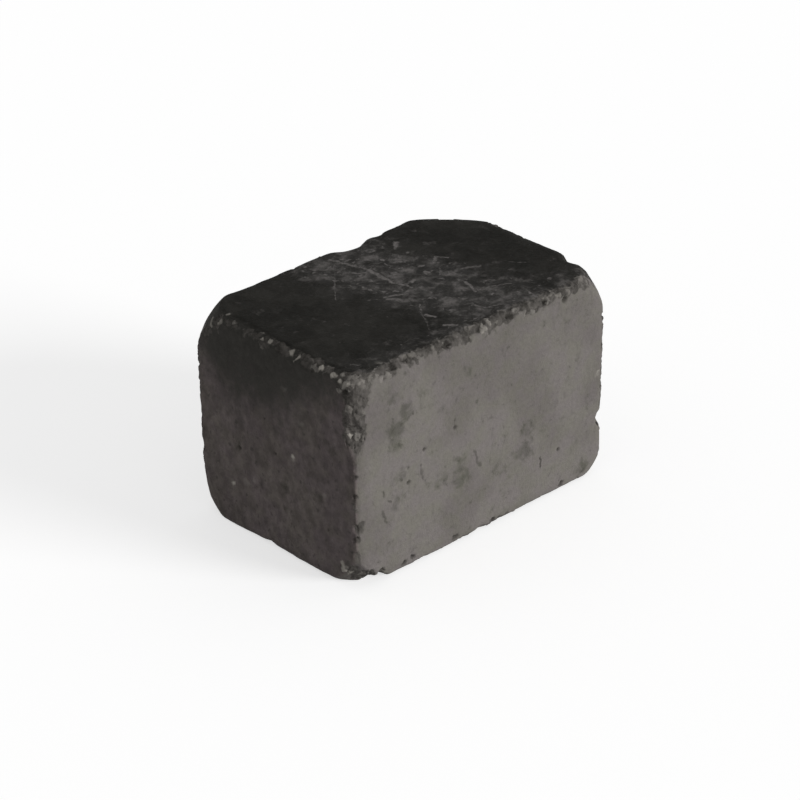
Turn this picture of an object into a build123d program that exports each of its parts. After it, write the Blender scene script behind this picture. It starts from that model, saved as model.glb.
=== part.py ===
"""Concrete edging block with tumbled arrises: one casting, one solid.

The block is pressed in a mould as a plain cuboid, and is then tumbled in a drum. The tumbling leaves the
six moulded faces flat. It wears each arris, which is the edge where two faces meet, back to a rounded
band of uneven width. It knocks the corners off further, and it strikes scoop-shaped spalls out of some
arrises.

Frame: X runs along the block's length, Y from the front face to the back one, and +Z is up. The origin is
the centre of the bottom face, which lies on the bedding. Units are millimetres.
"""

from build123d import *

import os
from math import sqrt
from typing import NamedTuple

# The mould's inside size, which is the size over the flat faces
LENGTH = 210.0
WIDTH = 140.0
HEIGHT = 140.0

# How a worn arris is rounded. The band's middle lies this share of the set-back in from each face. A true
# fillet has 0.29 and a flat chamfer has 0.5, so the band meets each face at a slight angle.
ARRIS_ROUNDING = 0.34

# How far a cutter reaches outside the block
CUTTER_MARGIN = 6.0

# Outward direction of each face
FACES = {
    "left": Vector(-1, 0, 0),
    "right": Vector(1, 0, 0),
    "front": Vector(0, -1, 0),
    "back": Vector(0, 1, 0),
    "bottom": Vector(0, 0, -1),
    "top": Vector(0, 0, 1),
}

# Set-back of the worn band from each arris, at even steps from one end of the arris to the other: left to
# right, front to back, or bottom to top. The front left upright is nearly crisp halfway up.
ARRIS_WEAR = {
    ("front", "top"): (8.0, 7.0, 6.5, 8.0, 6.0, 7.0, 8.0),
    ("back", "top"): (9.0, 7.5, 7.5, 6.5, 8.0, 4.5, 9.0),
    ("front", "bottom"): (9.0, 7.0, 6.0, 6.0, 6.5, 6.0, 7.0),
    ("back", "bottom"): (8.0, 6.0, 7.0, 5.0, 6.0, 8.0, 9.0),
    ("left", "top"): (9.0, 8.0, 6.0, 7.0, 8.0, 7.0, 9.0),
    ("right", "top"): (11.0, 9.0, 5.0, 5.0, 3.0, 6.0, 9.0),
    ("left", "bottom"): (9.0, 7.5, 5.5, 6.0, 5.0, 3.0, 6.0),
    ("right", "bottom"): (7.0, 6.0, 5.0, 7.0, 6.0, 5.0, 8.0),
    ("left", "front"): (7.0, 4.5, 3.0, 3.5, 6.0, 9.0, 10.0),
    ("right", "front"): (5.0, 5.0, 5.5, 5.0, 5.5, 6.5, 9.0),
    ("left", "back"): (12.0, 8.5, 4.5, 5.0, 4.0, 5.0, 8.0),
    ("right", "back"): (7.0, 6.0, 5.0, 6.0, 5.0, 7.0, 8.0),
}


class Knock(NamedTuple):
    """A blunted corner: the length lost from each of its arrises, and how flat the blow left it."""

    lost: float
    flatness: float  # 1 rounds the corner off smoothly, and 2 or more nearly slices it off


CORNER_WEAR = {
    ("left", "front", "bottom"): Knock(29.0, 2.0),
    ("right", "front", "bottom"): Knock(20.0, 1.7),
    ("left", "back", "bottom"): Knock(23.0, 2.0),
    ("right", "back", "bottom"): Knock(27.0, 1.5),
    ("left", "front", "top"): Knock(17.0, 1.4),
    ("right", "front", "top"): Knock(34.0, 1.4),
    ("left", "back", "top"): Knock(40.0, 1.05),
    ("right", "back", "top"): Knock(43.0, 2.0),
}


class Spall(NamedTuple):
    """A scoop struck out of the worn arris between two faces."""

    arris: tuple[str, str]
    along: float  # from the middle of the arris, towards right, back or top
    length: float
    depth: float
    off_centre: float = 0.0  # how far the blow fell from the middle of the band, over the second face


SPALLS = (
    Spall(("back", "top"), 18.0, 31.0, 5.0),
    Spall(("back", "top"), 40.5, 11.0, 2.8),
    Spall(("front", "top"), -62.0, 18.0, 2.0),
    Spall(("front", "top"), -8.0, 15.0, 1.6),
    Spall(("left", "top"), -18.0, 20.0, 2.0),
    Spall(("left", "top"), 30.0, 12.0, 1.5),
    Spall(("right", "top"), -44.0, 18.0, 4.5),
    Spall(("left", "front"), 34.0, 24.0, 3.0),
    Spall(("left", "front"), -46.0, 12.0, 2.0),
    Spall(("right", "front"), -31.5, 13.0, 5.0),
    Spall(("left", "back"), -24.0, 11.0, 1.4),
    Spall(("right", "back"), 12.0, 20.0, 2.4),
    Spall(("front", "bottom"), -86.0, 13.0, 2.8, off_centre=6.8),
    Spall(("front", "bottom"), -2.0, 9.0, 1.4),
    Spall(("back", "bottom"), -40.0, 22.0, 2.6),
    Spall(("left", "bottom"), 8.0, 12.0, 1.4),
    Spall(("right", "bottom"), 20.0, 18.0, 2.2),
)


def mid_of(*faces):
    """The middle of the face, arris or corner that the named faces share, before any wear."""
    half_size = Vector(LENGTH, WIDTH, HEIGHT) / 2
    point = Vector(0, 0, half_size.Z)
    for face in faces:
        outward = FACES[face]
        point += outward * abs(outward.dot(half_size))
    return point


def run_of(arris):
    """The direction that an arris runs in, towards right, back or top, and its whole length."""
    across = FACES[arris[0]].cross(FACES[arris[1]])
    along = Vector(abs(across.X), abs(across.Y), abs(across.Z))
    return along, along.dot(Vector(LENGTH, WIDTH, HEIGHT))


def wear_section(point, outward, set_back):
    """The outline, square to the arris at a point on it, of what is worn away there."""
    first, second = outward
    on_first = point - second * set_back
    on_second = point - first * set_back
    crown = point - (first + second) * set_back * ARRIS_ROUNDING
    band = ThreePointArc(on_first, crown, on_second)
    outside = Polyline(
        on_second,
        on_second + second * CUTTER_MARGIN,
        point + (first + second) * CUTTER_MARGIN,
        on_first + first * CUTTER_MARGIN,
        on_first,
    )
    return Wire([band.edge(), *outside.edges()])


def worn_arris(arris, set_backs):
    """What is worn off along one arris, lofted through its set-backs."""
    outward = [FACES[face] for face in arris]
    along, length = run_of(arris)
    reach = length + 2 * CUTTER_MARGIN
    step = reach / (len(set_backs) - 1)
    start = mid_of(*arris) - along * reach / 2
    sections = [
        wear_section(start + along * step * i, outward, set_back)
        for i, set_back in enumerate(set_backs)
    ]
    return Solid.make_loft(sections)


def knocked_corner(corner, knock):
    """What is knocked off one corner: all that lies outside a sphere that cuts its three arrises."""
    tip = mid_of(*corner)
    outward = FACES[corner[0]] + FACES[corner[1]] + FACES[corner[2]]
    # The sphere's centre is equally deep below the three faces. Its radius reaches the points where the
    # arrises are cut, which lie in two of the faces and are short of the third by the length lost.
    deep = knock.lost * knock.flatness
    centre = tip - outward * deep
    radius = sqrt(2 * deep**2 + (deep - knock.lost) ** 2)
    size = knock.lost + CUTTER_MARGIN
    middle = tip + outward * (CUTTER_MARGIN - knock.lost) / 2
    return Pos(*middle) * Box(size, size, size) - Pos(*centre) * Sphere(radius)


def struck_spall(spall):
    """The ball that scoops out one spall, sunk to its depth in the middle of the worn band."""
    first, second = (FACES[face] for face in spall.arris)
    along, length = run_of(spall.arris)
    set_backs = ARRIS_WEAR[spall.arris]
    place = (spall.along / length + 0.5) * (len(set_backs) - 1)
    before = int(place)
    share = place - before
    set_back = set_backs[before] * (1 - share) + set_backs[before + 1] * share
    radius = (spall.length**2 / 4 + spall.depth**2) / (2 * spall.depth)
    outward = (first + second) / sqrt(2)
    worn_by = set_back * ARRIS_ROUNDING * sqrt(2)
    centre = mid_of(*spall.arris) + along * spall.along + outward * (radius - spall.depth - worn_by)
    centre -= first * spall.off_centre
    return Pos(*centre) * Sphere(radius)


def edging_block():
    """The whole block."""
    block = Pos(0, 0, HEIGHT / 2) * Box(LENGTH, WIDTH, HEIGHT)
    for corner, knock in CORNER_WEAR.items():
        block -= knocked_corner(corner, knock)
    for arris, set_backs in ARRIS_WEAR.items():
        block -= worn_arris(arris, set_backs)
    for spall in SPALLS:
        block -= struck_spall(spall)
    return block.solid()


def main():
    os.makedirs("parts", exist_ok=True)
    block = edging_block()
    block.label = "edging_block"
    export_step(block, "parts/edging_block.step")


main()
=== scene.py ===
"""Looks of the concrete edging block: its broken arrises, chips and pits, its material, light and camera.

The solid from the frame gives the form. A fine closed mesh is made from it, and the wear that is too small
for the solid is worked into that mesh: grit along the arrises, chips, and pits in the faces. The material
adds colour and the finest relief. Positions are in millimetres until they go into a mesh.
"""

from math import cos, pi, radians, sin

import bpy
import numpy as np
from mathutils import Matrix, Vector, noise


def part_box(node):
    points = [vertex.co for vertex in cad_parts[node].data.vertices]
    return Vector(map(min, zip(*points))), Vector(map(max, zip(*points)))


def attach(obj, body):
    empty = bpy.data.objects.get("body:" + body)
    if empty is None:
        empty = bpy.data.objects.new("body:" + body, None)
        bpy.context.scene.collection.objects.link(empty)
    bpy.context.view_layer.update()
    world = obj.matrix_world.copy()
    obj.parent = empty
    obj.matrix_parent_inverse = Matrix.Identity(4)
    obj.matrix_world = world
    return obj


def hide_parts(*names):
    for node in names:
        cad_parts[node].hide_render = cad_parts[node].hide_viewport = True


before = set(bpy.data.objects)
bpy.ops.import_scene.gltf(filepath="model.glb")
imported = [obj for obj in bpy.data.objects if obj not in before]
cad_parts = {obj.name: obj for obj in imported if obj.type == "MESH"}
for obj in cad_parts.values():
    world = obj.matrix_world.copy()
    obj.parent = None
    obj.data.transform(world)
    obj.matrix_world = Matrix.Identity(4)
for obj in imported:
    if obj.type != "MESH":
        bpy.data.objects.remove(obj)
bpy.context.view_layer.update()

NODE = "edging_block"
BODY = "root"
MM = 0.001

# The mould's faces, from the frame, in millimetres
LOWEST, HIGHEST = (np.array(corner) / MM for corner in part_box(NODE))
CENTRE = (LOWEST + HIGHEST) / 2
HALF_SIZE = (HIGHEST - LOWEST) / 2

# The fine mesh
VOXEL = 0.7
CREASE_SMOOTHING = 14
CORNER_SMOOTHING = 45
MOST_TRIANGLES = 190_000

# The grit where an arris is broken open: how deep below both faces it is looked for, how deep it reaches
# where there is most of it, how much of it every arris has, and half the width of its soft border
GRIT_SEARCH = 14.0
GRIT_REACH = 8.0
LEAST_GRIT = 0.12
GRIT_BORDER = 1.6

# Sizes of its relief, from broad lumps to crumbs, and of its grains
LUMP_SIZE = 13.0
KNOB_SIZE = 5.5
GRAIN_SIZE = 4.2
CRUMB_SIZE = 2.6

# How much the radius of a bite varies, and the sizes of the three bites that make one chip
BITE_UNEVENNESS = 0.55
CHIP_BITES = (1.0, 0.6, 0.5)

# A pale stone: how many planes cut it to shape, and how far it stands out
STONE_PLANES = 10
STONE_STANDS_OUT = 0.4

# How far the surface has to face up for the black coat to begin, and for it to be whole
COAT_BEGINS = 0.3
COAT_WHOLE = 0.7

# The faces that the photograph doesn't show, each as its axis and side, and the pits in each of them
HIDDEN_FACES = ((0, 1), (1, 1), (2, -1))
PITS_A_FACE = 9

# Seeds of the random draws
WEAR_SEED = 3
PIT_SEED = 7

# Corners whose cut the tumbling rubbed smooth: where, and how far from there. The rubbing fades out
# between two shares of that reach.
RUBBING_FADES = (0.75, 1.3)
RUBBED_CORNERS = (
    ((-105, 70, 140), 42),
    ((105, 70, 140), 56),
    ((105, -70, 140), 36),
    ((-105, -70, 0), 24),
    ((105, -70, 0), 24),
    ((-105, 70, 0), 28),
    ((105, 70, 0), 30),
)

# The camera: where it stands round the block, how far off, its lens and sensor, how far it sees, and how
# far the block's middle lies right of and above the middle of the picture
CAMERA_AZIMUTH = -43.33
CAMERA_ELEVATION = 28.37
CAMERA_ROLL = -0.5
CAMERA_DISTANCE = 1575.0
CAMERA_LENS = 116.0
CAMERA_SENSOR = 36.0
CAMERA_SEES = 500_000.0
BLOCK_RIGHT = 2.33
BLOCK_ABOVE = 6.32

# The light: an even sky and one soft low sun, from the front and a little from the right
SKY = 0.38
SUN = 0.80
SUN_AZIMUTH = 24.0
SUN_ELEVATION = 16.0
SUN_SOFTNESS = 25.0
FLOOR_SIZE = 60_000.0
FLOOR_COLOUR = 0.62
FLOOR_GLOW = 0.62

# Colours, as linear reflectances
FACE_GREY = (0.148, 0.136, 0.127)
FACE_PALE = (0.175, 0.162, 0.151)
FACE_DIM = (0.105, 0.100, 0.088)
FACE_DARK = (0.060, 0.056, 0.050)
LEFT_TINT = (0.86, 0.80, 0.83)
# The colour that the left end darkens to from the top down
TOP_DOWN_DARK = (0.046, 0.0440, 0.0394)
TOP_BLACK = (0.0095, 0.0090, 0.0074)
TOP_GREY = (0.023, 0.0218, 0.0188)
TOP_HAZE = (0.034, 0.0325, 0.0307)
SCUFF = (0.190, 0.177, 0.170)
GRIT_DARK = (0.042, 0.0390, 0.0345)
GRIT_MIDDLE = (0.088, 0.081, 0.074)
GRIT_PALE = (0.180, 0.168, 0.153)
STONE_PALE = (0.450, 0.422, 0.378)
# Painted shade, with some dirt, in the pits, the chips and the gaps between grains
PIT_SHADE_AND_DIRT = (0.028, 0.026, 0.022)
GREENISH = (0.985, 1.000, 0.945)
PINKISH = (1.010, 0.990, 1.020)
WHITE = (1.0, 1.0, 1.0, 1.0)

# Sizes of the noises that make the colours uneven: for the whole block, from clouds to grains of sand
CLOUD_SIZE = 42.0
BLOTCH_SIZE = 12.0
SMUDGE_SIZE = 4.6
STREAK_SIZE = 4.2
MOTTLE_SIZE = 2.4
CELL_SIZE = 2.3
SAND_SIZE = 0.9

# Sizes of the noises that one colour only is made from
TINGE_SIZE = 14.0
HIDDEN_PATCH_SIZE = 22.0
LEFT_BLOTCH_SIZE = 7.0
LEFT_DOT_SIZE = 3.4
TORN_SIZE = 5.0
RUBBED_SIZE = 10.0
FLECK_SIZE = 5.2

# How far two noises are shifted, so that they don't follow the others
TINGE_SHIFT = (0, 0, 60)
DOT_SHIFT = (0, 90, 0)

# How the left end darkens from the top down. It reaches deepest between two places along the end, and less
# deep towards the front and the back. Before the slopes and the noises, it is faint at one height and full
# at the other.
DARKENING_DEEP_FROM = 10.0
DARKENING_DEEP_TO = 46.0
DARKENING_FRONT_SLOPE = 0.5
DARKENING_BACK_SLOPE = 1.4
DARKENING_FAINT = 59.0
DARKENING_FULL = 101.0

# The scuffed zone across the middle of the top: how it slants, how far it wanders, where it lies, and how
# far from its middle line it ends and is full
ZONE_SLANT = 0.25
ZONE_WANDER = 40.0
ZONE_PLACE = 32.0
ZONE_END = 54.0
ZONE_FULL = 18.0
ZONE_CLEAR = 0.62

# The less scuffed zone along the front of the top: how far from the front face it ends and is full
FRONT_ZONE_END = 34.0
FRONT_ZONE_FULL = 8.0
FRONT_ZONE_CLEAR = 0.42

# The short scratches on the top, and the directions that their two layers run in, in degrees
SCRATCH_LENGTH = 9.0
SCRATCH_WIDTH = 1.2
SCRATCH_TURNS = (15, 139)
LAYER_SHIFT = 31.7

# The share of a spot's reach, and of a stroke's, in which it is at its clearest
SPOT_CORE = 0.3
STROKE_CORE = 0.2

# The relief that only the material has
BUMP_STRENGTH = 0.6
BUMP_DEPTH = 0.5

# Stretches of arris that are broken open down to the grit: from, to, and how much of it is
BROKEN_STRETCHES = (
    ((-105, -70, 140), (105, -70, 140), 0.85),
    ((-105, -70, 140), (-105, -38, 140), 0.80),
    ((-105, -38, 140), (-105, 70, 140), 0.66),
    ((-105, -70, 112), (-105, -70, 140), 1.35),
    ((105, -70, 140), (105, 70, 140), 0.35),
    ((-105, 70, 140), (70, 70, 140), 0.30),
    ((-105, -70, 0), (105, -70, 0), 0.35),
    ((105, -70, 0), (105, 70, 0), 0.55),
    ((-60, 70, 0), (80, 70, 0), 0.60),
    ((105, 70, 30), (105, 70, 110), 0.70),
    ((-105, 70, 10), (-105, 70, 120), 0.40),
    ((105, -70, 10), (105, -70, 130), 0.40),
)

# Spots on the knocked corners that are broken open too: where, and how far they reach
BROKEN_SPOTS = (
    ((-103, -62, 13), 6.0),
    ((-97, -66, 7), 8.0),
    ((-103, 48, 135), 4.0),
    ((-103, 58, 127), 4.5),
)

# The spall on the right that the black coat of the top covers too: where, and how far it reaches
COATED_SPALL = ((105, -46, 139), 24.0)

# Chips along the edges and the larger pits: where, how wide and how deep
CHIPS = (
    ((-85, -70, 6), 3.4, 2.2),
    ((-67, -70, 5), 2.4, 1.6),
    ((-60, -70, 7), 2.2, 1.4),
    ((-25, -70, 5), 2.6, 1.6),
    ((8, -70, 4), 1.8, 1.2),
    ((67, -70, 5), 2.4, 1.6),
    ((-103, -70, 44), 4.2, 1.6),
    ((-104, -69, 37), 2.4, 1.0),
    ((-104, -69, 66), 1.8, 0.9),
    ((-104, -69, 24), 1.6, 0.9),
    ((-104, -69, 78), 1.8, 1.0),
    ((-104, -62, 131), 2.2, 1.2),
    ((-103, -68, 97), 2.4, 1.4),
    ((50, -70, 137), 2.6, 1.9),
    ((67, -70, 133), 2.6, 1.4),
    ((95, -70, 132), 2.0, 1.2),
    ((20, -69, 139), 3.0, 1.8),
    ((-30, -69, 137), 3.0, 2.0),
    ((-62, -68, 139), 3.6, 2.0),
    ((-73, -68, 138), 3.0, 2.0),
)
PITS = (
    ((-50, -70, 76), 1.5, 1.1),
    ((-63, -70, 59), 1.5, 1.1),
    ((-63, -70, 69), 1.0, 0.7),
    ((64, -70, 31), 1.3, 1.0),
    ((-25, -70, 81), 1.5, 0.8),
    ((-105, 32, 58), 1.7, 0.8),
    ((-105, -1, 67), 1.2, 0.6),
    ((-105, 8, 87), 1.0, 0.6),
    ((-105, -46, 34), 1.3, 0.6),
)

# Pale stones that show at the surface: where, how wide and how pale. Over 1 keeps a small stone pale right
# out to its rim.
STONES = (
    ((-105, -17, 70), 1.8, 1.7),
    ((-105, -24, 97), 1.1, 1.1),
    ((-105, 40, 31), 1.3, 1.3),
    ((-105, 29, 36), 1.1, 1.1),
    ((-105, 26, 36), 1.1, 1.1),
    ((-105, 20, 40), 1.2, 0.9),
    ((-105, -45, 57), 0.9, 1.1),
    ((-105, -10, 114), 1.0, 0.5),
    ((-102, -64, 103), 1.6, 0.9),
    ((-102, -41, 138), 2.2, 1.0),
    ((-102, -50, 137), 2.1, 0.8),
    ((-103, -57, 136), 2.0, 0.8),
    ((-103, -21, 138), 1.7, 0.8),
    ((-102, -15, 138), 2.0, 0.7),
    ((-102, 4, 138), 1.8, 0.6),
    ((-102, 10, 137), 1.4, 0.5),
    ((-103, 46, 136), 2.2, 0.45),
    ((-103, 54, 131), 1.9, 0.45),
    ((-98, 45, 139), 1.6, 0.4),
    ((-101, -62, 134), 2.0, 0.3),
    ((-97, -68, 136), 3.4, 0.12),
    ((-83, -69, 135), 2.4, 0.16),
    ((-78, -62, 140), 2.0, 0.20),
    ((-41, -67, 138), 1.8, 0.20),
    ((-1, -69, 138), 2.8, 0.35),
    ((5, -68, 138), 1.9, 0.3),
    ((11, -69, 138), 1.6, 0.25),
    ((63, -69, 137), 2.3, 0.25),
    ((71, -69, 136), 1.6, 0.25),
    ((98, -70, 72), 1.7, 0.5),
    ((-105, -59, 13), 2.9, 0.65),
    ((-103, -62, 9), 2.2, 0.45),
)

# Dim patches on the faces: where, how far they reach and how clear they are
PATCHES = (
    ((-73, -70, 98), 11, 1.0),
    ((-64, -70, 106), 9, 0.9),
    ((-74, -70, 88), 8, 0.9),
    ((-75, -70, 119), 6, 0.7),
    ((-73, -70, 50), 7, 0.7),
    ((-70, -70, 66), 7, 0.6),
    ((-34, -70, 50), 9, 0.6),
    ((-19, -70, 47), 12, 0.8),
    ((-20, -70, 57), 9, 0.6),
    ((13, -70, 37), 9, 0.7),
    ((17, -70, 56), 8, 0.5),
    ((33, -70, 42), 12, 0.8),
    ((36, -70, 58), 10, 0.6),
    ((51, -70, 48), 8, 0.6),
    ((-36, -70, 96), 5, 0.5),
    ((-14, -70, 114), 6, 0.5),
    ((-50, -70, 114), 5, 0.5),
    ((22, -70, 90), 4, 0.4),
    ((80, -70, 89), 5, 0.5),
    ((86, -70, 10), 10, 0.7),
    ((-105, -46, 91), 8, 0.7),
    ((-105, -8, 46), 6, 0.6),
    ((-105, 10, 40), 7, 0.6),
    ((-105, -38, 52), 7, 0.6),
    ((-105, -10, 32), 6, 0.5),
    ((-105, 60, 28), 6, 0.5),
    ((-105, 32, 58), 6, 0.6),
)
STREAKS = (
    ((-83, -70, 60), (-78, -70, 51), 1.5, 0.7),
    ((-83, -70, 48), (-80, -70, 40), 1.4, 0.6),
    ((-54, -70, 67), (-50, -70, 56), 1.5, 0.6),
    ((-8, -70, 58), (-4, -70, 46), 1.9, 0.6),
    ((47, -70, 30), (49, -70, 24), 1.3, 0.9),
    ((-25, -70, 90), (-25, -70, 83), 1.2, 0.5),
)

# Scuffs on the top: where, how far they reach and how clear they are
SCUFFED_PATCHES = (
    ((24, 31, 140), 13, 0.85),
    ((37, 45, 140), 5, 0.70),
    ((-2, -8, 140), 12, 0.80),
    ((6, -9, 140), 7, 0.60),
    ((14, -23, 140), 8, 0.50),
    ((-11, -9, 140), 7, 0.55),
    ((1, 18, 140), 9, 0.35),
    ((16, -20, 140), 13, 0.50),
    ((27, -4, 140), 9, 0.35),
    ((38, -9, 140), 12, 0.40),
    ((42, -30, 140), 13, 0.40),
    ((20, -46, 140), 14, 0.35),
    ((-4, 42, 140), 12, 0.50),
    ((-12, 30, 140), 8, 0.30),
    ((-14, -42, 140), 9, 0.25),
    ((-62, -60, 140), 9, 0.45),
    ((-80, -61, 140), 6, 0.40),
    ((-20, -62, 140), 10, 0.35),
)
SCRATCHES = (
    ((-6, 58, 140), (1, 32, 140), 1.8, 0.75),
    ((1, 32, 140), (-1, 9, 140), 2.3, 0.85),
    ((-1, 9, 140), (3, -4, 140), 1.6, 0.90),
    ((3, 50, 140), (-9, 51, 140), 1.6, 0.60),
    ((-9, 52, 140), (-41, 15, 140), 0.8, 0.50),
    ((-10, 36, 140), (-3, 29, 140), 1.6, 0.70),
    ((40, 48, 140), (34, 42, 140), 2.4, 0.90),
    ((18, 50, 140), (19, 50, 140), 1.8, 0.80),
    ((34, 32, 140), (35, 33, 140), 1.6, 0.70),
    ((-18, 11, 140), (-17, 10, 140), 1.7, 0.80),
    ((24, 5, 140), (25, 3, 140), 1.8, 0.80),
    ((-8, -1, 140), (-7, -3, 140), 1.8, 0.80),
    ((8, 1, 140), (11, 2, 140), 2.4, 0.85),
    ((-18, -6, 140), (-13, -13, 140), 2.2, 0.70),
    ((-21, 31, 140), (-23, 34, 140), 1.2, 0.60),
    ((36, 11, 140), (43, 16, 140), 1.6, 0.80),
    ((43, 16, 140), (47, 10, 140), 1.2, 0.65),
    ((31, -22, 140), (26, -35, 140), 1.9, 0.90),
    ((29, -35, 140), (38, -37, 140), 1.5, 0.65),
    ((38, -37, 140), (49, -42, 140), 1.2, 0.55),
    ((12, -47, 140), (15, -55, 140), 1.3, 0.70),
    ((15, -55, 140), (26, -58, 140), 1.3, 0.65),
    ((-17, -37, 140), (-15, -42, 140), 2.0, 0.90),
    ((-19, -54, 140), (-13, -59, 140), 1.7, 0.80),
    ((-10, -25, 140), (-15, -31, 140), 1.3, 0.75),
    ((-15, -31, 140), (-29, -53, 140), 0.8, 0.40),
    ((4, 32, 140), (-7, 26, 140), 1.2, 0.60),
    ((-6, -8, 140), (-18, -3, 140), 1.8, 0.75),
    ((53, -12, 140), (40, -6, 140), 1.8, 0.50),
    ((27, -4, 140), (33, 2, 140), 1.4, 0.50),
    ((70, -20, 140), (76, -28, 140), 1.0, 0.30),
)


def smooth_step(value, low, high):
    """0 where the value is at low or beyond, 1 at high or beyond, and a smooth rise between."""
    share = np.clip((value - low) / (high - low), 0, 1)
    return share * share * (3 - 2 * share)


def rough(points, size, octaves=3):
    """Fractal noise from about -1 to 1 whose largest lumps are about `size` across."""
    return np.array([noise.fractal(point / size, 1.0, 2.0, octaves) for point in vectors(points)])


def grains(points, size):
    """For uneven grains about `size` across: how far each point lies inside its own grain, and two random
    numbers from 0 to 1 that belong to the grain."""
    inside, first, second = [], [], []
    for point in vectors(points):
        place = point / size
        distances, middles = noise.voronoi(place + 0.4 * noise.noise_vector(place * 1.7))
        inside.append(distances[1] - distances[0])
        first.append(noise.cell(middles[0] * 97.0))
        second.append(noise.cell(middles[0] * 61.0))
    return np.array(inside), (np.array(first) + 1) / 2, (np.array(second) + 1) / 2


def vectors(points):
    """The same points, as the noise functions take them."""
    return [Vector(point) for point in points]


def from_segment(points, start, end):
    """How far each point lies from a straight stretch."""
    start = np.array(start, float)
    run = np.array(end, float) - start
    share = np.clip((points - start) @ run / (run @ run), 0, 1)
    return np.linalg.norm(points - start - share[:, None] * run, axis=1)


def mesh_points(mesh):
    """The places of a mesh's vertices, in millimetres."""
    flat = np.empty(len(mesh.vertices) * 3, np.float32)
    mesh.vertices.foreach_get("co", flat)
    return flat.reshape(-1, 3).astype(float) / MM


def mesh_normals(mesh):
    """The outward direction at each of a mesh's vertices."""
    flat = np.empty(len(mesh.vertices) * 3, np.float32)
    mesh.vertex_normals.foreach_get("vector", flat)
    return flat.reshape(-1, 3).astype(float)


def add_smoothing(piece, iterations):
    """Adds a smoothing modifier, and returns it."""
    smoothing = piece.modifiers.new("smoothing", "SMOOTH")
    smoothing.factor = 0.5
    smoothing.iterations = iterations
    return smoothing


def keep_modified(piece):
    """Gives the piece the mesh that its modifiers make of it, and takes them off."""
    depsgraph = bpy.context.evaluated_depsgraph_get()
    mesh = bpy.data.meshes.new_from_object(piece.evaluated_get(depsgraph), depsgraph=depsgraph)
    piece.modifiers.clear()
    piece.data = mesh


def fine_block():
    """The block's solid as a fine, even, closed mesh, with the creases of the cuts eased."""
    piece = bpy.data.objects.new("worn_block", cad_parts[NODE].data.copy())
    bpy.context.scene.collection.objects.link(piece)
    remesh = piece.modifiers.new("even mesh", "REMESH")
    remesh.mode = "VOXEL"
    remesh.voxel_size = VOXEL * MM
    add_smoothing(piece, CREASE_SMOOTHING)
    keep_modified(piece)
    rub_corners(piece)
    return piece


def rub_corners(piece):
    """Smooths the knocked corners over, fading out towards the faces."""
    points = mesh_points(piece.data)
    share = np.zeros(len(points))
    fades_from, fades_to = RUBBING_FADES
    for corner, reach in RUBBED_CORNERS:
        off = np.linalg.norm(points - corner, axis=1)
        share = np.maximum(share, 1 - smooth_step(off, fades_from * reach, fades_to * reach))
    group = piece.vertex_groups.new(name="rubbed")
    tenths = np.round(share * 10).astype(int)
    for tenth in range(1, 11):
        group.add(np.nonzero(tenths == tenth)[0].tolist(), tenth / 10, "REPLACE")
    add_smoothing(piece, CORNER_SMOOTHING).vertex_group = group.name
    keep_modified(piece)
    piece.vertex_groups.clear()


def break_arrises(points, depths, marks):
    """How far the surface is pushed in or out where an arris is broken open, and the marks that leaves."""
    amount = np.full(len(points), LEAST_GRIT)
    for start, end, most in BROKEN_STRETCHES:
        beside = 1 - smooth_step(from_segment(points, start, end), 12, 22)
        amount = np.maximum(amount, most * beside)
    crumbs = rough(points, CRUMB_SIZE)
    ragged = 3.0 * rough(points, 10.0) + 2.2 * rough(points, 4.0) + 0.8 * crumbs - 1.0
    past = depths[:, 1] - (GRIT_REACH * amount + ragged)
    broken = 1 - smooth_step(past, -GRIT_BORDER, GRIT_BORDER)
    for middle, radius in BROKEN_SPOTS:
        past = np.linalg.norm(points - middle, axis=1) - radius + 3.0 * rough(points, 5.0, 2)
        broken = np.maximum(broken, 1 - smooth_step(past, -GRIT_BORDER, GRIT_BORDER))

    # The worn bands are filled out a little, and the grit stands up and sinks in on top of that
    filled = smooth_step(depths[:, 0], 0.3, 1.2) * (0.6 + 0.3 * rough(points, LUMP_SIZE))
    inside, height, tone = grains(points, GRAIN_SIZE)
    gap = 1 - smooth_step(inside, 0.0, 0.22)
    relief = 0.6 * rough(points, KNOB_SIZE) + 0.35 * crumbs - 0.8 * (1 - height) ** 2 - 0.35 * gap

    # The highest grains are all pale
    marks["broken"] = broken
    marks["tone"] = np.where(height > 0.88, 0.95, 0.1 + 0.6 * tone)
    # Painted shade, with some dirt, in the gaps between the grains and among the low crumbs
    marks["hollow"] = broken * (0.15 * gap + 0.35 * smooth_step(-crumbs, 0.3, 0.9))
    return filled + broken * relief


def bite(points, push, hollow, middle, radius, depth):
    """Takes an uneven bite out of the surface, and marks it for painted shade and dirt."""
    off = np.linalg.norm(points - middle, axis=1)
    close = np.nonzero(off < radius * 2)[0]
    if not len(close):
        return
    uneven = 1 + BITE_UNEVENNESS * rough(points[close], radius * 0.9, 2)
    inside = np.sqrt(np.clip(1 - (off[close] / (radius * uneven)) ** 2, 0, 1))
    push[close] -= depth * inside
    hollow[close] = np.maximum(hollow[close], inside)


def set_stone(points, push, marks, chance, middle, radius, pale):
    """Lets a pale angular stone show at the surface: what lies behind all of a set of random planes."""
    off = np.linalg.norm(points - middle, axis=1)
    nearest = np.argmin(off)
    close = np.nonzero(off < off[nearest] + radius * 1.8)[0]
    planes = chance.normal(size=(STONE_PLANES, 3))
    planes /= np.linalg.norm(planes, axis=1)[:, None]
    reach = radius * chance.uniform(0.6, 1.1, STONE_PLANES)
    room = reach - (points[close] - points[nearest]) @ planes.T
    inside = room.min(axis=1) / radius + 0.22 * rough(points[close], radius * 0.9, 2)
    shown = smooth_step(inside, 0.0, 0.3)
    push[close] += STONE_STANDS_OUT * shown
    marks["stone"][close] = np.maximum(marks["stone"][close], shown * pale)
    marks["hollow"][close] *= 1 - shown


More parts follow.
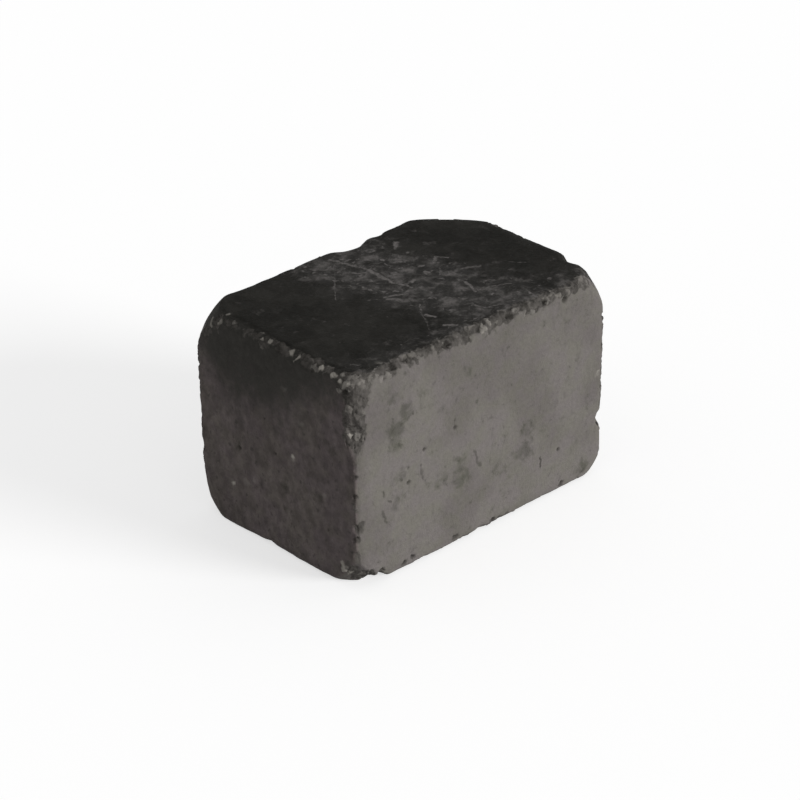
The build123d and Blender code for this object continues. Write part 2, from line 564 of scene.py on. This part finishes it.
def coated(points, normals):
    """How far the black coat of the top reaches: over the worn arrises and corners, less so at the front."""
    faces_up = normals[:, 2] + 0.5 * np.minimum(normals[:, 1], 0)
    middle, reach = COATED_SPALL
    off = np.linalg.norm(points - middle, axis=1)
    faces_up += 0.6 * (1 - smooth_step(off, 0.5 * reach, reach))
    coat = smooth_step(faces_up, COAT_BEGINS, COAT_WHOLE)
    edge = np.nonzero((coat > 0) & (coat < 1))[0]
    ragged = 0.15 * rough(points[edge], 6.0)
    coat[edge] = smooth_step(faces_up[edge] + ragged, COAT_BEGINS, COAT_WHOLE)
    return coat


def hidden_pits():
    """Small blow holes, scattered over the faces that the photograph doesn't show."""
    chance = np.random.default_rng(PIT_SEED)
    pits = []
    for axis, side in HIDDEN_FACES:
        for _ in range(PITS_A_FACE):
            place = CENTRE + HALF_SIZE * chance.uniform(-0.85, 0.85, 3)
            place[axis] = CENTRE[axis] + side * HALF_SIZE[axis]
            pits.append((place, chance.uniform(0.8, 1.7), chance.uniform(0.4, 1.1)))
    return pits


def wear(piece):
    """Breaks the arrises' surface into grit, chips the edges, pits the faces and shows the pale stones."""
    mesh = piece.data
    points = mesh_points(mesh)
    normals = mesh_normals(mesh)
    # How deep each point lies below the three nearest faces, the nearest first
    depths = np.sort(HALF_SIZE - np.abs(points - CENTRE), axis=1)
    near = np.nonzero(depths[:, 1] < GRIT_SEARCH)[0]

    near_marks = {}
    push = np.zeros(len(points))
    push[near] = break_arrises(points[near], depths[near], near_marks)
    marks = {name: np.zeros(len(points)) for name in ("broken", "tone", "hollow", "stone")}
    for name, values in near_marks.items():
        marks[name][near] = values
    marks["coat"] = coated(points, normals)

    chance = np.random.default_rng(WEAR_SEED)
    for middle, radius, depth in CHIPS:
        for share in CHIP_BITES:
            spot = middle + chance.uniform(-0.8, 0.8, 3) * radius * (1.2 - share)
            bite(points, push, marks["hollow"], spot, radius * share, depth * share)
    for middle, radius, depth in [*PITS, *hidden_pits()]:
        bite(points, push, marks["hollow"], middle, radius, depth)
    for middle, radius, pale in STONES:
        set_stone(points, push, marks, chance, np.array(middle, float), radius, pale)

    moved = np.clip(points + normals * push[:, None], LOWEST, HIGHEST)
    mesh.vertices.foreach_set("co", (moved * MM).astype(np.float32).ravel())
    for name, values in marks.items():
        attribute = mesh.attributes.new(name, "FLOAT", "POINT")
        attribute.data.foreach_set("value", values.astype(np.float32))
    mesh.update()


def thin_out(piece):
    """Merges triangles where the surface is plain, down to the most that the piece may have."""
    piece.data.calc_loop_triangles()
    triangles = len(piece.data.loop_triangles)
    fewer = piece.modifiers.new("fewer triangles", "DECIMATE")
    fewer.ratio = min(1.0, MOST_TRIANGLES / triangles)
    keep_modified(piece)
    piece.data.shade_smooth()


class Graph:
    """Adds shader nodes to a material or world. Each call but `add` returns the last node's output."""

    def __init__(self, owner):
        owner.use_nodes = True
        self.tree = owner.node_tree
        self.tree.nodes.clear()

    def add(self, kind, inputs=(), **settings):
        """Adds one node, with its inputs linked or set."""
        node = self.tree.nodes.new("ShaderNode" + kind)
        for name, value in settings.items():
            setattr(node, name, value)
        for key, value in dict(inputs).items():
            if isinstance(value, bpy.types.NodeSocket):
                self.tree.links.new(value, node.inputs[key])
            else:
                node.inputs[key].default_value = value
        return node

    def math(self, operation, first, second=0.0):
        return self.add("Math", {0: first, 1: second}, operation=operation).outputs[0]

    def most(self, first, *others):
        """The largest of some values."""
        for other in others:
            first = self.math("MAXIMUM", first, other)
        return first

    def sum(self, *parts):
        """The sum of some values, each times its own weight. A value of 1 adds its weight itself."""
        total = 0.0
        for value, weight in parts:
            total = self.add("Math", {0: value, 1: weight, 2: total}, operation="MULTIPLY_ADD").outputs[0]
        return total

    def vector(self, operation, first, second):
        """A calculation with vectors. For a scaling, the second is the number to scale by."""
        inputs = {0: first, 3 if operation == "SCALE" else 1: second}
        node = self.add("VectorMath", inputs, operation=operation)
        return node.outputs["Value" if operation in ("DOT_PRODUCT", "DISTANCE") else "Vector"]

    def steps(self, value, low, high, start=0.0, end=1.0):
        """A smooth change from start, where the value is low, to end, where it is high."""
        inputs = {0: value, 1: low, 2: high, 3: start, 4: end}
        return self.add("MapRange", inputs, interpolation_type="SMOOTHSTEP").outputs[0]

    def noise(self, place, size, detail=2.0, roughness=0.5, distortion=0.0):
        """Noise from 0 to 1 whose largest lumps are about half of `size` across."""
        inputs = {
            "Vector": place,
            "Scale": 1 / size,
            "Detail": detail,
            "Roughness": roughness,
            "Distortion": distortion,
        }
        return self.add("TexNoise", inputs).outputs["Fac"]

    def mix(self, share, first, second):
        """The first colour where the share is 0, and the second where it is 1."""
        inputs = {0: share, 6: first, 7: second}
        return self.add("Mix", inputs, data_type="RGBA").outputs[2]

    def multiply(self, first, second):
        """One colour or number times another."""
        inputs = {0: 1.0, 6: first, 7: second}
        return self.add("Mix", inputs, data_type="RGBA", blend_type="MULTIPLY").outputs[2]

    def bent(self, place, size, amount):
        """The places, each moved about by some of the amount, alike over stretches of about `size`."""
        wander = self.add("TexNoise", {"Vector": place, "Scale": 1 / size, "Detail": 2.0}).outputs["Color"]
        centred = self.vector("SUBTRACT", wander, (0.5, 0.5, 0.5))
        return self.vector("ADD", place, self.vector("SCALE", centred, amount * 2))

    def scratched(self, place, turn, layer):
        """Short soft scratches on a level face, all running one way: 0 between them."""
        lengthwise = Vector((cos(turn), sin(turn), 0)) / SCRATCH_LENGTH
        crosswise = Vector((-sin(turn), cos(turn), 0)) / SCRATCH_WIDTH
        along = self.vector("DOT_PRODUCT", place, lengthwise)
        across = self.vector("DOT_PRODUCT", place, crosswise)
        stretched = self.add("CombineXYZ", {0: along, 1: across, 2: layer}).outputs[0]
        return self.steps(self.noise(stretched, 1.0, 2.0, 0.6), 0.57, 0.74)

    def spots(self, place, spots):
        """How clearly a place lies in one of the spots: 0 outside them all."""
        total = 0.0
        for middle, reach, clear in spots:
            off = self.vector("DISTANCE", place, middle)
            total = self.most(self.steps(off, reach * SPOT_CORE, reach, clear, 0.0), total)
        return total

    def strokes(self, place, strokes):
        """How clearly a place lies on one of the straight strokes: 0 off them all."""
        total = 0.0
        for start, end, width, clear in strokes:
            run = Vector(end) - Vector(start)
            offset = self.vector("SUBTRACT", place, start)
            along = self.vector("DOT_PRODUCT", offset, run / run.length_squared)
            share = self.add("Clamp", {0: along}).outputs[0]
            off = self.vector("DISTANCE", offset, self.vector("SCALE", run, share))
            total = self.most(self.steps(off, width * STROKE_CORE, width, clear, 0.0), total)
        return total


def opaque(colour):
    """A colour as a shader takes it, with its alpha."""
    return (*colour, 1.0)


class Surface:
    """The places and noises that the colours of the concrete are worked out from."""

    def __init__(self, graph):
        object_place = graph.add("TexCoord").outputs["Object"]
        self.place = graph.vector("SCALE", object_place, 1 / MM)
        self.x, self.y, self.z = graph.add("SeparateXYZ", {0: self.place}).outputs
        self.broken, self.tone, self.hollow, self.stone, self.coat = (
            graph.add("Attribute", attribute_name=name).outputs["Fac"]
            for name in ("broken", "tone", "hollow", "stone", "coat")
        )
        tall = graph.vector("MULTIPLY", self.place, (1, 1, 0.3))
        self.wavy = graph.bent(self.place, 8.0, 4.5)
        self.clouds = graph.noise(self.place, CLOUD_SIZE)
        self.blotches = graph.noise(self.place, BLOTCH_SIZE, 5.0, 0.62, 0.4)
        self.smudges = graph.noise(self.place, SMUDGE_SIZE, 3.0, 0.55, 0.3)
        self.streaks = graph.noise(tall, STREAK_SIZE, 3.0, 0.6)
        self.mottle = graph.noise(self.place, MOTTLE_SIZE, 3.0, 0.6)
        self.sand = graph.noise(self.place, SAND_SIZE, 2.0, 0.7)
        cells = graph.add("TexVoronoi", {"Vector": graph.bent(self.place, 2.6, 1.4), "Scale": 1 / CELL_SIZE})
        self.crumb = graph.add("SeparateXYZ", {0: cells.outputs["Color"]}).outputs[0]


def side_colour(graph, at):
    """The moulded sides: grey, and on the left end darker, and darker still from the top down."""
    left = graph.steps(at.x, LOWEST[0] + 3.0, LOWEST[0] + 1.0)
    colour = moulded_colour(graph, at, left)
    colour = graph.mix(left, colour, left_colour(graph, at, colour))
    return darkened_from_top(graph, at, left, colour)


def moulded_colour(graph, at, left):
    """Grey concrete, paler near the bottom, with dim patches and dark streaks, fainter on the left end."""
    clean = graph.math("ADD", at.clouds, graph.steps(at.z, 30.0, 8.0, 0.0, 0.12))
    colour = graph.mix(graph.steps(clean, 0.38, 0.62), opaque(FACE_GREY), opaque(FACE_PALE))

    patches = graph.most(graph.spots(at.wavy, PATCHES), hidden_patches(graph, at))
    dim = graph.sum((at.blotches, 0.6), (at.smudges, 0.5), (patches, 0.26))
    colour = graph.mix(graph.steps(dim, 0.58, 0.86), colour, opaque(FACE_DIM))
    dark = graph.sum((at.smudges, 1.0), (at.mottle, 0.3), (patches, 0.10))
    colour = graph.mix(graph.steps(dark, 0.80, 0.98, 0.0, 0.60), colour, opaque(FACE_DARK))

    random_streaks = graph.steps(at.streaks, 0.58, 0.78, 0.0, 0.28)
    random_streaks = graph.math("MULTIPLY", random_streaks, graph.steps(left, 0.0, 1.0, 1.0, 0.3))
    streaks = graph.most(random_streaks, graph.strokes(at.wavy, STREAKS))
    colour = graph.mix(streaks, colour, opaque(FACE_DARK))

    tinge = graph.noise(graph.vector("ADD", at.place, TINGE_SHIFT), TINGE_SIZE, 4.0, 0.6)
    tint = graph.mix(graph.steps(tinge, 0.35, 0.65), opaque(GREENISH), opaque(PINKISH))
    return graph.multiply(colour, tint)


def hidden_patches(graph, at):
    """Random dim patches on the right end and the back, which the photograph doesn't show."""
    right = graph.steps(at.x, HIGHEST[0] - 8.0, HIGHEST[0] - 2.0)
    back = graph.steps(at.y, HIGHEST[1] - 8.0, HIGHEST[1] - 2.0)
    scattered = graph.steps(graph.noise(at.place, HIDDEN_PATCH_SIZE, 3.0, 0.6), 0.46, 0.74, 0.0, 0.80)
    return graph.math("MULTIPLY", graph.most(right, back), scattered)


def left_colour(graph, at, colour):
    """The left end's own mottling over the colour of the sides: blotches, dark dots and a few pale ones."""
    colour = graph.multiply(colour, opaque(LEFT_TINT))
    tall = graph.vector("MULTIPLY", at.place, (1, 1, 0.8))
    blotched = graph.noise(tall, LEFT_BLOTCH_SIZE, 5.0, 0.62)
    colour = graph.multiply(colour, graph.steps(blotched, 0.30, 0.70, 0.76, 1.24))
    dots = graph.noise(graph.vector("ADD", tall, DOT_SHIFT), LEFT_DOT_SIZE, 1.5)
    colour = graph.mix(graph.steps(dots, 0.62, 0.76, 0.0, 0.65), colour, opaque(FACE_DARK))
    return graph.mix(graph.steps(dots, 0.32, 0.22, 0.0, 0.40), colour, opaque(FACE_PALE))


def darkened_from_top(graph, at, left, colour):
    """The colour, darkened unevenly from the top down on the left end. Elsewhere the darkening is faint."""
    towards_front = graph.math("MINIMUM", at.y, DARKENING_DEEP_FROM)
    towards_back = graph.math("MAXIMUM", at.y, DARKENING_DEEP_TO)
    height = graph.sum(
        (at.z, 1.0),
        (towards_front, DARKENING_FRONT_SLOPE),
        (towards_back, -DARKENING_BACK_SLOPE),
        (at.clouds, 26.0),
        (at.blotches, 48.0),
        (at.smudges, 24.0),
    )
    most = graph.steps(left, 0.0, 1.0, 0.12, 0.95)
    darkening = graph.math("MULTIPLY", graph.steps(height, DARKENING_FAINT, DARKENING_FULL), most)
    uneven = graph.steps(graph.sum((at.blotches, 0.5), (at.smudges, 0.5)), 0.36, 0.64, 0.86, 1.22)
    return graph.mix(darkening, colour, graph.multiply(opaque(TOP_DOWN_DARK), uneven))


def top_colour(graph, at):
    """The near-black top, hazy and scuffed by the tumbling, mostly across its middle."""
    uneven = graph.sum((at.clouds, 0.5), (at.blotches, 0.5))
    colour = graph.mix(graph.steps(uneven, 0.38, 0.64), opaque(TOP_BLACK), opaque(TOP_GREY))
    zone = scuffed_zone(graph, at)
    hazy = graph.sum((zone, 0.5), (at.blotches, 0.8), (at.smudges, 0.4))
    colour = graph.mix(graph.steps(hazy, 0.60, 1.20), colour, opaque(TOP_HAZE))

    # Where the top rolls over to the left end, it takes on the colour that the left end darkens to from the
    # top
    over_edge = graph.steps(at.z, HIGHEST[2] - 0.1, HIGHEST[2] - 1.4)
    by_left = graph.steps(at.x, LOWEST[0] + 14.0, LOWEST[0] + 7.0)
    colour = graph.mix(graph.math("MULTIPLY", over_edge, by_left), colour, opaque(TOP_DOWN_DARK))
    return graph.mix(scuffs(graph, at, zone), colour, opaque(SCUFF))


def scuffed_zone(graph, at):
    """How scuffed the top is: across its middle, less along its front, and in the named patches."""
    slanting = graph.sum((at.x, 1.0), (at.y, ZONE_SLANT), (at.clouds, ZONE_WANDER), (1.0, -ZONE_PLACE))
    middle = graph.steps(graph.math("ABSOLUTE", slanting), ZONE_END, ZONE_FULL, 0.0, ZONE_CLEAR)
    from_front = graph.sum((at.y, 1.0), (1.0, -LOWEST[1]))
    front = graph.steps(from_front, FRONT_ZONE_END, FRONT_ZONE_FULL, 0.0, FRONT_ZONE_CLEAR)
    return graph.most(middle, front, graph.spots(at.wavy, SCUFFED_PATCHES))


def scuffs(graph, at, zone):
    """How clear the scuffs are: rubbed clumps, short scratches, flecks, and the strokes that are seen."""
    clumps = graph.noise(at.place, RUBBED_SIZE, 4.5, 0.62, 0.1)
    rubbed = graph.steps(graph.sum((clumps, 1.0), (zone, 0.27)), 0.58, 0.99)

    bent = graph.bent(at.place, 9.0, 3.5)
    layers = [
        graph.scratched(bent, radians(turn), layer * LAYER_SHIFT)
        for layer, turn in enumerate(SCRATCH_TURNS)
    ]
    scratched = graph.math("MULTIPLY", graph.most(*layers), graph.steps(zone, 0.0, 0.7, 0.02, 0.35))

    specks = graph.noise(at.place, FLECK_SIZE, 2.0, 0.5, 0.5)
    flecks = graph.steps(graph.sum((specks, 1.0), (at.smudges, 0.4), (zone, 0.28)), 0.93, 1.15, 0.0, 0.85)

    wobbly = graph.bent(graph.bent(at.place, 5.0, 2.0), 1.8, 0.7)
    patchy = graph.steps(at.mottle, 0.30, 0.55, 0.30, 1.0)
    strokes = graph.math("MULTIPLY", graph.strokes(wobbly, SCRATCHES), patchy)
    return graph.most(rubbed, scratched, flecks, strokes)


def grit_colour(graph, at, tone):
    """Broken concrete: grains of all greys, paler by the left end and dimmer away from the front."""
    colour = graph.mix(graph.steps(tone, 0.10, 0.50), opaque(GRIT_DARK), opaque(GRIT_MIDDLE))
    colour = graph.mix(graph.steps(tone, 0.55, 0.95), colour, opaque(GRIT_PALE))
    by_left = graph.steps(at.x, LOWEST[0] + 9.0, LOWEST[0] + 3.0, 1.0, 1.3)
    behind = graph.steps(at.y, LOWEST[1] + 18.0, LOWEST[1] + 40.0, 1.0, 0.80)
    return graph.multiply(colour, graph.math("MULTIPLY", by_left, behind))


def concrete_colour(graph, at):
    """The sides, the black coat over them, and then the grit, the pits with their painted shade and dirt,
    and the stones over both.
    """
    tone = graph.sum((at.tone, 0.75), (at.crumb, 0.2), (at.mottle, 0.45), (1.0, -0.2))
    torn = graph.noise(at.place, TORN_SIZE, 4.0, 0.6)
    coat = graph.sum((at.coat, 1.0), (torn, 1.0), (at.crumb, 0.35), (tone, -0.35), (1.0, -0.5))
    colour = graph.mix(graph.steps(coat, 0.26, 0.74), side_colour(graph, at), top_colour(graph, at))

    # Where the surface is broken, its grains show through whatever is left on it
    open_grain = graph.steps(tone, 0.0, 0.9, 0.62, 1.12)
    colour = graph.multiply(colour, graph.mix(at.broken, WHITE, open_grain))
    flakes = graph.sum((at.broken, 1.0), (at.smudges, 1.2), (at.crumb, 0.4), (at.blotches, 0.6), (1.0, -1.1))
    colour = graph.mix(graph.steps(flakes, 0.25, 0.85, 0.0, 0.88), colour, grit_colour(graph, at, tone))

    fine = graph.steps(at.mottle, 0.25, 0.75, 0.92, 1.07)
    speck = graph.steps(at.sand, 0.25, 0.75, 0.95, 1.05)
    colour = graph.multiply(colour, graph.math("MULTIPLY", fine, speck))
    # Painted shade, with some dirt, darkens the pits, the chips and the gaps between grains
    colour = graph.mix(graph.math("MULTIPLY", at.hollow, 0.70), colour, opaque(PIT_SHADE_AND_DIRT))
    stone = graph.math("MULTIPLY", at.stone, graph.steps(at.mottle, 0.2, 0.7, 0.75, 1.1))
    return graph.mix(stone, colour, opaque(STONE_PALE))


def concrete():
    """The material of the whole block."""
    material = bpy.data.materials.new("tumbled_concrete")
    graph = Graph(material)
    at = Surface(graph)
    relief = graph.sum((at.mottle, 1.5), (at.sand, 1.0))
    bump = graph.add("Bump", {"Strength": BUMP_STRENGTH, "Distance": BUMP_DEPTH * MM, "Height": relief})
    shader = graph.add("BsdfPrincipled", {
        "Base Color": concrete_colour(graph, at),
        "Roughness": graph.steps(at.mottle, 0.3, 0.7, 0.84, 0.98),
        "Specular IOR Level": 0.1,
        "Normal": bump.outputs[0],
    })
    graph.add("OutputMaterial", {0: shader.outputs[0]})
    return material


def seen_directly(graph):
    """1 for what the camera sees, also in a mirror or through glass, and 0 for the light on things."""
    path = graph.add("LightPath").outputs
    return graph.most(path["Is Camera Ray"], path["Is Glossy Ray"], path["Is Transmission Ray"])


def add_floor():
    """A plain pale floor that looks white, and keeps the block's shadow."""
    size = FLOOR_SIZE * MM
    mesh = bpy.data.meshes.new("floor")
    corners = [(-size, -size, 0), (size, -size, 0), (size, size, 0), (-size, size, 0)]
    mesh.from_pydata(corners, [], [(0, 1, 2, 3)])
    floor = bpy.data.objects.new("floor", mesh)
    bpy.context.scene.collection.objects.link(floor)
    material = bpy.data.materials.new("floor")
    graph = Graph(material)
    grey = graph.add("BsdfDiffuse", {"Color": opaque([FLOOR_COLOUR] * 3)})
    glow_strength = graph.math("MULTIPLY", seen_directly(graph), FLOOR_GLOW)
    glow = graph.add("Emission", {"Strength": glow_strength})
    both = graph.add("AddShader", {0: grey.outputs[0], 1: glow.outputs[0]})
    graph.add("OutputMaterial", {0: both.outputs[0]})
    mesh.materials.append(material)


def direction(azimuth, elevation):
    """The direction from the block towards an azimuth and an elevation, in degrees."""
    turn = radians(azimuth)
    rise = radians(elevation)
    return Vector((sin(turn) * cos(rise), -cos(turn) * cos(rise), sin(rise)))


def add_light():
    """An even sky, which looks white, and one soft sun."""
    world = bpy.data.worlds.new("sky")
    bpy.context.scene.world = world
    graph = Graph(world)
    strength = graph.add("MapRange", {0: seen_directly(graph), 3: SKY, 4: 1.0}).outputs[0]
    sky = graph.add("Background", {"Color": WHITE, "Strength": strength})
    graph.add("OutputWorld", {0: sky.outputs[0]})

    lamp = bpy.data.lights.new("sun", "SUN")
    lamp.energy = SUN * pi
    lamp.angle = radians(SUN_SOFTNESS)
    sun = bpy.data.objects.new("sun", lamp)
    bpy.context.scene.collection.objects.link(sun)
    sun.rotation_mode = "QUATERNION"
    sun.rotation_quaternion = direction(SUN_AZIMUTH, SUN_ELEVATION).to_track_quat("Z", "Y")


def add_camera():
    """The camera that the photograph was taken with, as it was fitted to the block's straight edges."""
    azimuth = radians(CAMERA_AZIMUTH)
    roll = radians(CAMERA_ROLL)
    back = direction(CAMERA_AZIMUTH, CAMERA_ELEVATION)
    level = Vector((cos(azimuth), sin(azimuth), 0))
    upright = back.cross(level)
    right = level * cos(roll) + upright * sin(roll)
    up = upright * cos(roll) - level * sin(roll)
    place = Vector(CENTRE) + back * CAMERA_DISTANCE - right * BLOCK_RIGHT - up * BLOCK_ABOVE
    data = bpy.data.cameras.new("camera")
    data.lens = CAMERA_LENS
    data.sensor_width = CAMERA_SENSOR
    data.clip_end = CAMERA_SEES * MM
    camera = bpy.data.objects.new("camera", data)
    bpy.context.scene.collection.objects.link(camera)
    turn = Matrix((right, up, back)).transposed().to_4x4()
    camera.matrix_world = Matrix.Translation(place * MM) @ turn
    bpy.context.scene.camera = camera


def main():
    bpy.context.scene.view_settings.view_transform = "Standard"
    block = fine_block()
    wear(block)
    thin_out(block)
    block.data.materials.clear()
    block.data.materials.append(concrete())
    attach(block, BODY)
    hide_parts(NODE)
    add_floor()
    add_light()
    add_camera()


main()
